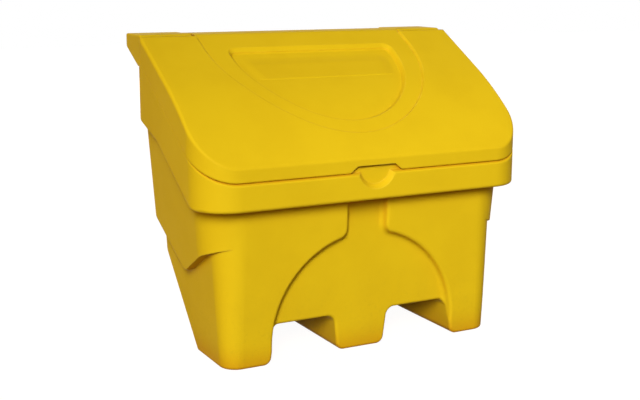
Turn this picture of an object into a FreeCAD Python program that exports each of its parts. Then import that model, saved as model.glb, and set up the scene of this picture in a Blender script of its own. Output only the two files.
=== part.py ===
import FreeCAD, Part
import math
import os
import Sketcher

# Grit salt bin: a moulded tub with a collar, fork pockets and two hinge housings, a moulded lid on a
# steel rod, and the plug behind the rod. Millimetres. The origin is the middle of the footprint on the
# ground, the front faces -Y and +Z is up.

V = FreeCAD.Vector
DOC = FreeCAD.newDocument("grit_salt_bin")
SHEET = DOC.addObject("Spreadsheet::Sheet", "Sizes")

SIZES = [
    # Shell of the tub and of the lid.
    ("wall", 5.0),
    # Lower walls: half width and slopes per millimetre of height.
    ("base_half_width", 400.0),
    ("base_side_slope", 0.048),
    ("front_y", -222.0),
    ("front_slope", 0.035),
    ("rear_y", 190.0),
    ("rear_slope", 0.01),
    ("base_top", 430.0),
    ("base_front_radius", 47.0),
    ("base_front_radius_growth", 0.066),
    ("rear_radius", 45.0),
    ("foot_edge_radius", 8.0),
    # Upper walls, which stand proud of the lower ones above the lip on each side.
    ("upper_half_width", 417.5),
    ("upper_foot", 190.0),
    ("upper_side_slope", 0.07),
    ("upper_top", 850.0),
    ("upper_under_rim", 6.0),
    ("upper_front_radius", 100.0),
    ("lip_bend_y", -152.0),
    ("lip_bend_z", 291.0),
    ("lip_front_slope", 0.34),
    ("lip_bend_radius", 150.0),
    ("lip_low_y", -34.0),
    ("lip_low_z", 224.0),
    ("lip_low_radius", 30.0),
    ("lip_rear_slope", 0.577),
    # Sloping flats that take off the two lower rear corners.
    ("facet_reach", 143.0),
    ("facet_slope", 0.848),
    ("facet_height", 300.0),
    ("facet_inset_factor", 1.65),
    # Fork pockets.
    ("pocket_inner", 70.0),
    ("pocket_outer", 275.0),
    ("pocket_lean", 0.117),
    ("pocket_height", 99.0),
    ("pocket_roof_radius", 25.0),
    ("foot_inner_radius", 22.0),
    # Arch sunk in the front, with its neck running up under the collar.
    ("arch_radius", 273.0),
    ("arch_centre_z", 53.0),
    ("arch_depth", 22.0),
    ("arch_lead", 10.0),
    ("arch_lean", 0.35),
    ("arch_rim_radius", 9.0),
    ("arch_floor_radius", 13.0),
    ("neck_half_width", 60.0),
    ("neck_radius", 25.0),
    ("neck_top", 436.0),
    # Collar and the sloping plane on which the lid closes.
    ("collar_half_width", 475.0),
    ("collar_front_y", -278.0),
    ("collar_rear_y", 199.0),
    ("collar_front_radius", 100.0),
    ("collar_rear_radius", 45.0),
    ("collar_low_z", 416.0),
    ("collar_knee_y", -186.0),
    ("collar_bend_y", 40.0),
    ("collar_bend_z", 552.0),
    ("collar_bend_radius", 60.0),
    ("collar_rear_slope", 0.33),
    ("rim_front_z", 482.5),
    ("rim_slope", 0.621),
    ("reach_y", 22.0),
    ("collar_under_radius", 9.0),
    ("seam_radius", 4.0),
    # Mouth of the tub and the upstand round it.
    ("mouth_half_width", 464.0),
    ("mouth_front_y", -261.0),
    ("mouth_rear_y", 123.0),
    ("mouth_front_radius", 86.0),
    ("mouth_rear_radius", 30.0),
    ("upstand_height", 12.0),
    ("upstand_width", 5.0),
    ("upstand_root", 3.0),
    ("mouth_root", 9.0),
    # Finger scoop in the front of the collar.
    ("scoop_centre_z", 501.0),
    ("scoop_radius", 56.0),
    ("scoop_depth", 12.0),
    ("scoop_floor_radius", 44.0),
    ("scoop_lead", 1.0),
    # Hinge housings at the top of the rear wall.
    ("housing_inner", 324.0),
    ("housing_outer", 470.0),
    ("housing_front_y", 154.0),
    ("housing_rear_y", 278.0),
    ("housing_top", 822.0),
    ("housing_rear_z", 786.0),
    ("housing_foot_y", 190.0),
    ("housing_foot_z", 740.0),
    ("housing_top_radius", 6.0),
    ("housing_rear_radius", 12.0),
    ("housing_front_radius", 20.0),
    ("housing_edge_radius", 4.0),
    # Hinge axis, rod, sockets and plug.
    ("axis_y", 248.0),
    ("axis_z", 795.0),
    ("rod_diameter", 12.0),
    ("rod_left", 458.0),
    ("rod_right", 456.0),
    ("bore_diameter", 12.16),
    ("socket_left", 459.0),
    ("socket_start", 440.0),
    ("socket_diameter", 24.0),
    ("socket_cover", 1.0),
    ("plug_stem", 12.0),
    ("plug_head_diameter", 24.0),
    ("plug_head", 3.0),
    ("plug_chamfer", 1.0),
    # Lid.
    ("lid_half_width", 478.0),
    ("lid_front_y", -275.0),
    ("lid_rear_y", 144.0),
    ("lid_front_radius", 102.0),
    ("lid_gap", 1.2),
    ("lid_front_reach", 2.0),
    ("lid_edge_z", 523.0),
    ("lid_knee_y", -32.0),
    ("lid_knee_z", 719.0),
    ("lid_rear_z", 818.0),
    ("shoulder_front_radius", 7.0),
    ("shoulder_rear_radius", 9.0),
    ("panel_drop", 6.5),
    ("yoke_radius", 315.0),
    ("yoke_centre_y", 102.0),
    ("panel_radius", 246.0),
    ("panel_centre_y", 73.0),
    ("panel_rear_y", 92.0),
    ("panel_corner_radius", 18.0),
    ("panel_depth", 14.0),
    ("panel_rim_chamfer", 8.0),
    ("panel_floor_radius", 5.5),
    ("yoke_rim_chamfer", 5.0),
    ("notch_low_half_width", 107.0),
    ("notch_low_z", 464.0),
    ("notch_top_half_width", 55.0),
    ("notch_z", 506.0),
    ("notch_corner_radius", 6.0),
    # Arm and knuckle of the lid between the housings.
    ("arm_half_width", 318.0),
    ("knuckle_radius", 26.0),
    ("arm_under_z", 787.0),
    ("knuckle_under_z", 779.0),
    ("arm_overlap", 3.0),
    ("arm_under_y", 208.0),
    ("knuckle_under_y", 216.0),
    ("arm_bend_radius", 6.0),
    ("arm_top_radius", 30.0),
    ("knuckle_corner_radius", 25.5),
    ("knuckle_under_radius", 4.0),
    ("bay_top_radius", 20.0),
    ("rib", 8.0),
    ("rib_outer_x", 190.0),
    ("rib_inner_x", 63.0),
    # Lengths of the forms that others trim, and how far a cut runs past its edge.
    ("crossing", 1200.0),
    ("column_foot", 380.0),
    ("column_height", 600.0),
    ("run_out", 10.0),
]


class Size:
    """A dimension: its number, and the text that reads it from the sheet."""

    def __init__(self, value, text):
        self.value = float(value)
        self.text = text

    def __add__(self, other):
        other = size(other)
        return Size(self.value + other.value, f"({self.text} + {other.text})")

    def __sub__(self, other):
        other = size(other)
        return Size(self.value - other.value, f"({self.text} - {other.text})")

    def __mul__(self, other):
        other = size(other)
        return Size(self.value * other.value, f"({self.text} * {other.text})")

    def __truediv__(self, other):
        other = size(other)
        return Size(self.value / other.value, f"({self.text} / {other.text})")

    def __neg__(self):
        return Size(-self.value, f"(0 - {self.text})")


def size(number):
    return number if isinstance(number, Size) else Size(number, repr(float(number)))


def fill_sheet():
    found = {}
    for row, (alias, value) in enumerate(SIZES, start=1):
        SHEET.set(f"A{row}", alias.replace("_", " "))
        SHEET.set(f"B{row}", str(value))
        SHEET.setAlias(f"B{row}", alias)
        found[alias] = Size(value, f"Sizes.{alias}")
    return found


D = fill_sheet()
DOC.recompute()
WALL = D["wall"]
NONE = size(0.0)

SIDE = FreeCAD.Rotation(V(1, 1, 1), 120)
FRONT = FreeCAD.Rotation(V(1, 0, 0), 90)
PLAN = FreeCAD.Rotation()
TILT = FreeCAD.Rotation(V(1, 0, 0), 90 + math.degrees(math.atan(D["front_slope"].value)))
DIAGONAL = FreeCAD.Rotation(V(1, 1, 0), V(0, 0, 1), V(1, -1, 0), "XYZ")


def bind(item, path, amount):
    item.setExpression(path, size(amount).text)


def place(item, rotation=PLAN, x=0.0, y=0.0, z=0.0):
    item.Placement = FreeCAD.Placement(V(size(x).value, size(y).value, size(z).value), rotation)
    for axis, amount in (("x", x), ("y", y), ("z", z)):
        bind(item, f"Placement.Base.{axis}", amount)
    return item


def fix(sketch, kind, amount, *where):
    index = sketch.addConstraint(Sketcher.Constraint(kind, *where, size(amount).value))
    name = f"d{index}"
    sketch.renameConstraint(index, name)
    sketch.setExpression(f"Constraints.{name}", size(amount).text)


def at(sketch, geometry, point, x, y):
    fix(sketch, "DistanceX", x, -1, 1, geometry, point)
    fix(sketch, "DistanceY", y, -1, 1, geometry, point)


def outline(name, rotation, corners, x=0.0, y=0.0, z=0.0):
    """Closed outline through corners (x, y, radius), where a radius of None leaves the corner sharp."""
    sketch = place(DOC.addObject("Sketcher::SketchObject", name), rotation, x, y, z)
    places = [V(size(a).value, size(b).value, 0) for a, b, _ in corners]
    radii = [r for _, _, r in corners]
    count = len(corners)
    ends = []
    for i in range(count):
        to_last = (places[i - 1] - places[i]).normalize()
        to_next = (places[(i + 1) % count] - places[i]).normalize()
        if radii[i] is None:
            ends.append((places[i], places[i], None))
            continue
        radius = size(radii[i]).value
        half = to_last.getAngle(to_next) / 2
        reach = radius / math.tan(half)
        bisector = (to_last + to_next).normalize()
        middle = places[i] + bisector * (radius / math.sin(half) - radius)
        arc = Part.Arc(places[i] + to_last * reach, middle, places[i] + to_next * reach)
        ends.append((places[i] + to_last * reach, places[i] + to_next * reach, arc))
    lines = [sketch.addGeometry(Part.LineSegment(ends[i][1], ends[(i + 1) % count][0]), False)
             for i in range(count)]
    for i in range(count):
        last = lines[i - 1]
        if ends[i][2] is None:
            sketch.addConstraint(Sketcher.Constraint("Coincident", last, 2, lines[i], 1))
            at(sketch, lines[i], 1, corners[i][0], corners[i][1])
            continue
        point = sketch.addGeometry(Part.Point(places[i]), True)
        at(sketch, point, 1, corners[i][0], corners[i][1])
        sketch.addConstraint(Sketcher.Constraint("PointOnObject", point, 1, last))
        sketch.addConstraint(Sketcher.Constraint("PointOnObject", point, 1, lines[i]))
        arc = sketch.addGeometry(ends[i][2], False)
        first, second = (1, 2)
        if (sketch.getPoint(arc, 1) - ends[i][0]).Length > (sketch.getPoint(arc, 2) - ends[i][0]).Length:
            first, second = (2, 1)
        sketch.addConstraint(Sketcher.Constraint("Tangent", last, 2, arc, first))
        sketch.addConstraint(Sketcher.Constraint("Tangent", arc, second, lines[i], 1))
        fix(sketch, "Radius", radii[i], arc)
    return sketch


def prism(name, sketch, length, symmetric=False):
    item = DOC.addObject("Part::Extrusion", name)
    item.Base = sketch
    item.DirMode = "Normal"
    item.Solid = True
    item.Symmetric = symmetric
    bind(item, "LengthFwd", length)
    return item


def box(name, x, y, z, length, width, height):
    item = place(DOC.addObject("Part::Box", name), PLAN, x, y, z)
    bind(item, "Length", length)
    bind(item, "Width", width)
    bind(item, "Height", height)
    return item


def cylinder(name, radius, height, rotation, x=0.0, y=0.0, z=0.0):
    item = place(DOC.addObject("Part::Cylinder", name), rotation, x, y, z)
    bind(item, "Radius", radius)
    bind(item, "Height", height)
    return item


def cut(name, base, tool):
    item = DOC.addObject("Part::Cut", name)
    item.Base = base
    item.Tool = tool
    item.Refine = True
    return item


def fuse(name, shapes):
    item = DOC.addObject("Part::MultiFuse", name)
    item.Shapes = shapes
    item.Refine = True
    return item


def common(name, shapes):
    item = DOC.addObject("Part::MultiCommon", name)
    item.Shapes = shapes
    return item


def mirrored(name, source):
    item = DOC.addObject("Part::Mirroring", name)
    item.Source = source
    item.Normal = V(1, 0, 0)
    return item


def fillet(name, base, choose, low_radius, high_radius=None):
    """Rounds the edges for which choose(edge) is true, from the radius at their low end to the high one."""
    DOC.recompute()
    low = size(low_radius).value
    high = low if high_radius is None else size(high_radius).value
    item = DOC.addObject("Part::Fillet", name)
    item.Base = base
    picked = []
    for i, edge in enumerate(base.Shape.Edges, start=1):
        if choose(edge):
            rising = edge.Vertexes[0].Point.z <= edge.Vertexes[-1].Point.z
            picked.append((i, low, high) if rising else (i, high, low))
    item.Edges = picked
    return item


def chamfer(name, base, choose, amount):
    """Takes off the edges for which choose(edge) is true, by the same amount on both sides."""
    DOC.recompute()
    item = DOC.addObject("Part::Chamfer", name)
    item.Base = base
    flat = size(amount).value
    item.Edges = [(i, flat, flat) for i, edge in enumerate(base.Shape.Edges, start=1) if choose(edge)]
    return item


def rectangle(name, half_width, front, rear, front_radius, rear_radius, z):
    corners = [(-half_width, front, front_radius), (half_width, front, front_radius),
               (half_width, rear, rear_radius), (-half_width, rear, rear_radius)]
    return outline(name, PLAN, corners, z=z)


def rim_z(y, lift=0.0):
    """Height of the plane on which the lid closes, at depth y."""
    return D["rim_front_z"] + (size(y) - D["collar_front_y"]) * D["rim_slope"] + lift


def walls(name, half_width, side_slope, foot, top, inset):
    """Straight tapering walls between two heights."""
    low, high = size(foot), size(top)
    front = outline(f"{name}_front", FRONT, [
        (-(half_width + side_slope * low - inset), low, None),
        (half_width + side_slope * low - inset, low, None),
        (half_width + side_slope * high - inset, high, None),
        (-(half_width + side_slope * high - inset), high, None)])
    side = outline(f"{name}_side", SIDE, [
        (D["front_y"] - D["front_slope"] * low + inset, low, None),
        (D["rear_y"] + D["rear_slope"] * low - inset, low, None),
        (D["rear_y"] + D["rear_slope"] * high - inset, high, None),
        (D["front_y"] - D["front_slope"] * high + inset, high, None)])
    across = prism(f"{name}_across", front, D["crossing"], True)
    along = prism(f"{name}_along", side, D["crossing"], True)
    return common(f"{name}_walls", [across, along])


def along_slope(amount, slope):
    """Height, straight up, of a wall of this thickness that rises at this slope."""
    rise = size(slope)
    return size(amount) * Size(math.sqrt(1.0 + rise.value ** 2), f"sqrt(1 + {rise.text} * {rise.text})")


def upright(edge):
    low, high = sorted((vertex.Point for vertex in edge.Vertexes), key=lambda point: point.z)
    return high.z - low.z > 0.9 * edge.Length


def upright_front(edge):
    return upright(edge) and edge.CenterOfMass.y < 0


def upright_rear(edge):
    return upright(edge) and edge.CenterOfMass.y > 0


def lower_walls(name, inset):
    low, top = size(inset), D["base_top"]
    start = D["base_front_radius"] - inset
    end = start + D["base_front_radius_growth"] * top
    form = walls(name, D["base_half_width"], D["base_side_slope"], low, top, inset)
    form = fillet(f"{name}_front_corners", form, upright_front, start, end)
    return fillet(f"{name}_rear_corners", form, upright_rear, D["rear_radius"] - inset)


def upper_walls(name, inset, lift):
    form = walls(name, D["upper_half_width"], D["upper_side_slope"], D["upper_foot"],
                 D["upper_top"], inset)
    form = fillet(f"{name}_front_corners", form, upright_front, D["upper_front_radius"] - inset)
    form = fillet(f"{name}_rear_corners", form, upright_rear, D["rear_radius"] - inset)
    front = D["collar_front_y"] - D["reach_y"]
    rear = D["collar_rear_y"] + D["reach_y"]
    rise = along_slope(inset, D["lip_rear_slope"])
    band = outline(f"{name}_band_side", SIDE, [
        (front, D["lip_bend_z"] + (D["lip_bend_y"] - front) * D["lip_front_slope"] + rise, None),
        (D["lip_bend_y"], D["lip_bend_z"] + rise, D["lip_bend_radius"]),
        (D["lip_low_y"], D["lip_low_z"] + rise, D["lip_low_radius"] - inset),
        (rear, D["lip_low_z"] + (rear - D["lip_low_y"]) * D["lip_rear_slope"] + rise, None),
        (rear, rim_z(rear, lift), None),
        (front, rim_z(front, lift), None)])
    return common(f"{name}_trimmed", [form, prism(f"{name}_band", band, D["crossing"], True)])


def above_rim(point):
    """Height of a point over the plane on which the lid closes."""
    flat = D["rim_front_z"].value + (point.y - D["collar_front_y"].value) * D["rim_slope"].value
    return point.z - flat


def collar_under_edge(edge):
    middle = edge.CenterOfMass
    across = abs(middle.x) < 1.0 and middle.y > D["collar_front_y"].value + 1.0
    level = edge.BoundBox.ZLength < 0.9 * edge.Length
    return level and not across and all(above_rim(point) < -1.0 for point in edge.discretize(5))


def collar_rim_edge(edge):
    return all(abs(above_rim(point)) < 0.1 for point in edge.discretize(5))


def collar(name, inset, lift):
    plan = rectangle(f"{name}_plan", D["collar_half_width"] - inset, D["collar_front_y"] + inset,
                     D["collar_rear_y"] - inset, D["collar_front_radius"] - inset,
                     D["collar_rear_radius"] - inset, D["column_foot"])
    front = D["collar_front_y"] - D["reach_y"]
    rear = D["collar_rear_y"] + D["reach_y"]
    rise = along_slope(inset, D["rim_slope"])
    side = outline(f"{name}_side", SIDE, [
        (front, D["collar_low_z"] + inset, None),
        (D["collar_knee_y"], D["collar_low_z"] + inset, D["collar_bend_radius"]),
        (D["collar_bend_y"], D["collar_bend_z"] + rise, D["collar_bend_radius"]),
        (rear, D["collar_bend_z"] + (rear - D["collar_bend_y"]) * D["collar_rear_slope"] + rise, None),
        (rear, rim_z(rear, lift), None),
        (front, rim_z(front, lift), None)])
    form = common(f"{name}_form", [prism(f"{name}_column", plan, D["column_height"]),
                                   prism(f"{name}_band", side, D["crossing"], True)])
    if inset is NONE:
        form = fillet(f"{name}_under_edges", form, collar_under_edge, D["collar_under_radius"])
        form = fillet(f"{name}_rim_edges", form, collar_rim_edge, D["seam_radius"])
    return form


def pockets(name, inset):
    """The two fork pockets, which narrow from the ground up to their roof."""
    grow = along_slope(inset, D["pocket_lean"])
    roof = D["pocket_height"] + inset
    foot_lean = D["pocket_lean"] * inset
    roof_lean = D["pocket_lean"] * roof
    inner = D["pocket_inner"] - grow
    outer = D["pocket_outer"] + grow
    past = D["foot_inner_radius"] + D["run_out"]
    side = outline(f"{name}_outline", FRONT, [
        (inner - past, -D["run_out"], None),
        (outer + past, -D["run_out"], None),
        (outer + past, inset, None),
        (outer - foot_lean, inset, D["foot_inner_radius"] - inset),
        (outer - roof_lean, roof, D["pocket_roof_radius"] + inset),
        (inner + roof_lean, roof, D["pocket_roof_radius"] + inset),
        (inner + foot_lean, inset, D["foot_inner_radius"] - inset),
        (inner - past, inset, None)])
    right = prism(f"{name}_right", side, D["crossing"], True)
    return fuse(f"{name}_pair", [right, mirrored(f"{name}_left", right)])


def facets(name, shift):
    """What lies beyond the sloping flats, at 45 degrees to the sides and the rear."""
    low = -D["run_out"]
    high = D["facet_height"]
    slope = D["facet_slope"] / math.sqrt(2.0)
    foot = (D["facet_reach"] - D["front_y"] - size(shift)) / math.sqrt(2.0)
    side = outline(f"{name}_outline", DIAGONAL, [
        (foot + slope * low, low, None),
        (foot + slope * high, high, None),
        (foot + D["base_half_width"], high, None),
        (foot + D["base_half_width"], low, None)])
    right = prism(f"{name}_right", side, D["crossing"], True)
    return fuse(f"{name}_pair", [right, mirrored(f"{name}_left", right)])


def arch_outline(name, y, grow):
    """Front outline of the arch at one depth, grown by an amount."""
    half = D["arch_radius"] + grow
    neck = D["neck_half_width"] + grow
    bend = D["neck_radius"] - grow
    low, top, centre = -D["run_out"], D["neck_top"], D["arch_centre_z"]
    bend_x = neck + bend
    bend_z = centre.value + math.sqrt((half.value + bend.value) ** 2 - bend_x.value ** 2)
    share = half.value / (half.value + bend.value)
    touch = V(bend_x.value * share, centre.value + (bend_z - centre.value) * share, 0)
    sketch = place(DOC.addObject("Sketcher::SketchObject", name), TILT, 0.0, y, 0.0)
    sides = []
    for sign in (1, -1):
        def point(x, z):
            return V(sign * x, z, 0)
        wall = sketch.addGeometry(Part.LineSegment(point(half.value, low.value),
                                                   point(half.value, centre.value)), False)
        angle = math.atan2(touch.y - centre.value, touch.x)
        start, end = (0.0, angle) if sign > 0 else (math.pi - angle, math.pi)
        bell = sketch.addGeometry(Part.ArcOfCircle(Part.Circle(V(0, centre.value, 0), V(0, 0, 1),
                                                               half.value), start, end), False)
        back = math.atan2(touch.y - bend_z, touch.x - bend_x.value) % (2 * math.pi)
        start, end = (math.pi, back) if sign > 0 else (3 * math.pi - back, 2 * math.pi)
        bent = sketch.addGeometry(Part.ArcOfCircle(Part.Circle(point(bend_x.value, bend_z), V(0, 0, 1),
                                                               bend.value), start, end), False)
        side = sketch.addGeometry(Part.LineSegment(point(neck.value, bend_z),
                                                   point(neck.value, top.value)), False)
        near, far = (1, 2) if sign > 0 else (2, 1)
        sketch.addConstraint(Sketcher.Constraint("Tangent", wall, 2, bell, near))
        sketch.addConstraint(Sketcher.Constraint("Tangent", bell, far, bent, far))
        sketch.addConstraint(Sketcher.Constraint("Tangent", bent, near, side, 1))
        sketch.addConstraint(Sketcher.Constraint("Vertical", side))
        at(sketch, bell, 3, 0.0, centre)
        fix(sketch, "Radius", half, bell)
        fix(sketch, "Radius", bend, bent)
        fix(sketch, "DistanceY", low, -1, 1, wall, 1)
        at(sketch, side, 2, neck if sign > 0 else -neck, top)
        sides.append((wall, side))
    (wall_right, side_right), (wall_left, side_left) = sides
    for first, first_end, second, second_end in ((side_right, 2, side_left, 2),
                                                 (wall_left, 1, wall_right, 1)):
        bar = sketch.addGeometry(Part.LineSegment(sketch.getPoint(first, first_end),
                                                  sketch.getPoint(second, second_end)), False)
        sketch.addConstraint(Sketcher.Constraint("Coincident", bar, 1, first, first_end))
        sketch.addConstraint(Sketcher.Constraint("Coincident", bar, 2, second, second_end))
    return sketch


def arch(name, inset):
    """Body of the sunk arch: its sides close in from the front down to its floor."""
    grow = along_slope(inset, D["arch_lean"])
    floor = D["arch_depth"] + inset
    outer = arch_outline(f"{name}_outer", D["front_y"] - D["arch_lead"],
                         grow + D["arch_lean"] * D["arch_lead"])
    inner = arch_outline(f"{name}_inner", D["front_y"] + floor, grow - D["arch_lean"] * floor)
    item = DOC.addObject("Part::Loft", name)
    item.Sections = [outer, inner]
    item.Solid = True
    item.Ruled = True
    return item


def on_arch(edge, depth):
    """True for the outline of the arch at a depth behind the front walls."""
    slope = D["front_slope"].value
    plane = D["front_y"].value + depth
    points = edge.discretize(5)
    flush = all(abs(point.y + slope * point.z - plane) < 0.3 for point in points)
    inner = all(abs(point.x) < D["arch_radius"].value + 1.0 for point in points)
    middle = edge.CenterOfMass
    return flush and inner and middle.z < D["neck_top"].value - 10.0 and edge.BoundBox.ZLength > 0.1


def arch_rim_edge(edge):
    return on_arch(edge, 0.0)


def arch_floor_edge(edge):
    return on_arch(edge, D["arch_depth"].value)


def rim_band(name, low, high):
    """Slab along the plane on which the lid closes, between two lifts."""
    front = D["collar_front_y"] - D["reach_y"]
    rear = D["collar_rear_y"] + D["reach_y"]
    side = outline(f"{name}_side", SIDE, [(front, rim_z(front, low), None), (rear, rim_z(rear, low), None),
                                          (rear, rim_z(rear, high), None),
                                          (front, rim_z(front, high), None)])
    return prism(name, side, D["crossing"], True)


def housing_edge(edge):
    middle = edge.CenterOfMass
    end = min(abs(middle.x - D["housing_inner"].value), abs(middle.x - D["housing_outer"].value)) < 0.1
    upper = middle.z > D["axis_z"].value or middle.y > D["housing_rear_y"].value - 4.0
    return end and edge.BoundBox.XLength < 0.1 and upper


def housing(name, inset):
    front = D["housing_front_y"] + inset
    rear = D["housing_rear_y"] - inset
    low = D["housing_foot_z"] + inset
    fall = (D["housing_rear_z"] - D["housing_foot_z"]) / (D["housing_rear_y"] - D["housing_foot_y"])
    lift = along_slope(inset, fall)
    side = outline(f"{name}_side", SIDE, [
        (front, low, None),
        (D["housing_foot_y"] - (lift - inset) / fall, low, None),
        (rear, D["housing_rear_z"] + lift - fall * inset, D["housing_rear_radius"] - inset),
        (rear, D["housing_top"] - inset, D["housing_top_radius"] - inset),
        (front, D["housing_top"] - inset, D["housing_front_radius"] - inset)],
        x=D["housing_inner"] + inset)
    right = prism(f"{name}_right", side, D["housing_outer"] - D["housing_inner"] - size(inset) * 2.0)
    if inset is NONE:
        right = fillet(f"{name}_edges", right, housing_edge, D["housing_edge_radius"])
    return right, mirrored(f"{name}_left", right)


def scoop(name, inset):
    item = place(DOC.addObject("Part::Cone", name), FreeCAD.Rotation(V(1, 0, 0), -90), 0.0,
                 D["collar_front_y"] - D["scoop_lead"], D["scoop_centre_z"])
    bind(item, "Radius1", D["scoop_radius"] + inset + D["scoop_lead"])
    bind(item, "Radius2", D["scoop_floor_radius"] + inset)
    bind(item, "Height", D["scoop_depth"] + inset + D["scoop_lead"])
    return item


ALONG_X = FreeCAD.Rotation(V(0, 1, 0), 90)


def foot_edge(edge):
    """True for the upright front edges of the middle foot, which run on smoothly round all three feet."""
    slope = D["front_slope"].value
    plane = D["front_y"].value + D["arch_depth"].value
    flush = all(abs(point.y + slope * point.z - plane) < 0.1 for point in edge.discretize(5))
    return flush and upright(edge) and edge.CenterOfMass.z < D["pocket_height"].value


def build_tub():
    lift = -along_slope(WALL, D["rim_slope"])
    upper = upper_walls("upper", NONE, -D["upper_under_rim"])
    body = fuse("body_forms", [lower_walls("base", NONE), upper])
    body = cut("body_with_arch", body, arch("arch", NONE))
    body = fillet("arch_rim", body, arch_rim_edge, D["arch_rim_radius"])
    body = fillet("arch_foot", body, arch_floor_edge, D["arch_floor_radius"])
    body = cut("body_with_pockets", body, pockets("pocket", NONE))
    body = fillet("foot_edges", body, foot_edge, D["foot_edge_radius"])
    right, left = housing("housing", NONE)
    margin = D["upstand_width"]
    upstand_plan = rectangle("upstand_plan", D["mouth_half_width"] + margin, D["mouth_front_y"] - margin,
                             D["mouth_rear_y"] + margin, D["mouth_front_radius"] + margin,
                             D["mouth_rear_radius"] + margin, D["column_foot"])
    upstand = common("upstand", [prism("upstand_column", upstand_plan, D["column_height"]),
                                 rim_band("upstand_band", -D["upstand_root"], D["upstand_height"])])
    outside = fuse("outside_forms", [body, collar("collar", NONE, 0.0), upstand, right, left])
    outside = cut("outside_facets", outside, facets("facet", 0.0))
    outside = cut("outside_scoop", outside, scoop("scoop", NONE))

    inside = fuse("inside_forms", [lower_walls("base_in", WALL), upper_walls("upper_in", WALL, lift)])
    inside = cut("inside_arch", inside, arch("arch_in", WALL))
    inside_right, inside_left = housing("housing_in", WALL)
    mouth_plan = rectangle("mouth_plan", D["mouth_half_width"], D["mouth_front_y"], D["mouth_rear_y"],
                           D["mouth_front_radius"], D["mouth_rear_radius"], D["column_foot"])
    mouth = common("mouth", [prism("mouth_column", mouth_plan, D["column_height"]),
                             rim_band("mouth_band", -D["mouth_root"], D["run_out"] * 3.0)])
    inside = fuse("inside_all", [inside, collar("collar_in", WALL, lift), inside_right, inside_left, mouth])
    inside = cut("inside_pockets", inside, pockets("pocket_in", WALL))
    inside = cut("inside_facets", inside, facets("facet_in", WALL * D["facet_inset_factor"]))
    inside = cut("inside_scoop", inside, scoop("scoop_in", WALL))
    shell = cut("tub_shell", outside, inside)

    socket_end = D["housing_outer"] - D["socket_cover"]
    socket = cylinder("socket", D["socket_diameter"] / 2.0, socket_end - D["socket_start"],
                      ALONG_X, D["socket_start"], D["axis_y"], D["axis_z"])
    solid = fuse("tub_sockets", [shell, socket, mirrored("socket_mirror", socket)])
    bore_end = D["housing_outer"] + D["run_out"]
    bore = cylinder("tub_bore", D["bore_diameter"] / 2.0, bore_end + D["socket_left"],
                    ALONG_X, -D["socket_left"], D["axis_y"], D["axis_z"])
    tub = cut("tub", solid, bore)
    tub.Label = "tub"
    return tub


def lid_slope():
    return (D["lid_rear_z"] - D["lid_knee_z"]) / (D["lid_rear_y"] - D["lid_knee_y"])


def lid_curve(name, drop, low):
    """Side outline of the lid: a shallow dome at the front, then a straight slope to the rear."""
    sketch = place(DOC.addObject("Sketcher::SketchObject", name), SIDE)
    slope = lid_slope()
    reach = D["run_out"] * 3.0
    front = D["lid_front_y"] - D["lid_front_reach"]
    front_z = D["lid_edge_z"] - D["lid_front_reach"] - drop
    knee_z = D["lid_knee_z"] - drop
    rear = D["lid_rear_y"] + reach
    rear_z = D["lid_rear_z"] - drop + slope * reach
    chord = V(D["lid_knee_y"].value - front.value, knee_z.value - front_z.value, 0)
    turn = math.atan2(chord.y, chord.x) - math.atan(slope.value)
    bulge = chord.Length / 2 * math.tan(turn / 2)
    middle = V(front.value, front_z.value, 0) + chord * 0.5 + V(-chord.y, chord.x, 0).normalize() * bulge
    dome = sketch.addGeometry(Part.Arc(V(front.value, front_z.value, 0), middle,
                                       V(D["lid_knee_y"].value, knee_z.value, 0)), False)
    begin, finish = (1, 2)
    if sketch.getPoint(dome, 1).x > sketch.getPoint(dome, 2).x:
        begin, finish = (2, 1)
    at(sketch, dome, begin, front, front_z)
    at(sketch, dome, finish, D["lid_knee_y"], knee_z)
    ends = [(D["lid_knee_y"], knee_z), (rear, rear_z)]
    if low is None:
        ends += [(rear, size(1000.0)), (front, size(1000.0))]
    else:
        ends += [(rear, rim_z(rear, low)), (front, rim_z(front, low))]
    ends.append((front, front_z))
    last, last_end = dome, finish
    for (x1, y1), (x2, y2) in zip(ends, ends[1:]):
        line = sketch.addGeometry(Part.LineSegment(V(x1.value, y1.value, 0),
                                                   V(x2.value, y2.value, 0)), False)
        joint = "Tangent" if last == dome else "Coincident"
        sketch.addConstraint(Sketcher.Constraint(joint, last, last_end, line, 1))
        if (x2, y2) == ends[-1]:
            sketch.addConstraint(Sketcher.Constraint("Coincident", line, 2, dome, begin))
        elif last == dome:
            fix(sketch, "DistanceX", x2, -1, 1, line, 2)
        else:
            at(sketch, line, 2, x2, y2)
        last, last_end = line, 2
    return sketch


def lid_top_edge(edge):
    middle = edge.CenterOfMass
    flat = D["rim_front_z"].value + (middle.y - D["collar_front_y"].value) * D["rim_slope"].value
    box = edge.BoundBox
    across_top = box.YLength < 1.0 and middle.y > D["lid_front_y"].value + 1.0
    return middle.z > flat + 20.0 and not across_top and (
        box.ZLength < 0.9 * edge.Length and middle.y < D["lid_rear_y"].value - 20.0)


def shoulder(name, base, inset):
    """Rounds the lid's upper edges: tight along the straight sides, fuller down to the front."""
    front, rear = D["shoulder_front_radius"] - inset, D["shoulder_rear_radius"] - inset

    def radius(vertex):
        share = (D["lid_knee_y"].value - vertex.Point.y) / (D["lid_knee_y"].value - D["lid_front_y"].value)
        return rear.value + (front.value - rear.value) * min(max(share, 0.0), 1.0)

    DOC.recompute()
    item = DOC.addObject("Part::Fillet", name)
    item.Base = base
    item.Edges = [(i, radius(edge.Vertexes[0]), radius(edge.Vertexes[-1]))
                  for i, edge in enumerate(base.Shape.Edges, start=1) if lid_top_edge(edge)]
    return item


def under_dome(point):
    """Depth of a point on the straight part of the lid under the lid's top."""
    return D["lid_knee_z"].value + lid_slope().value * (point.y - D["lid_knee_y"].value) - point.z


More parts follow.
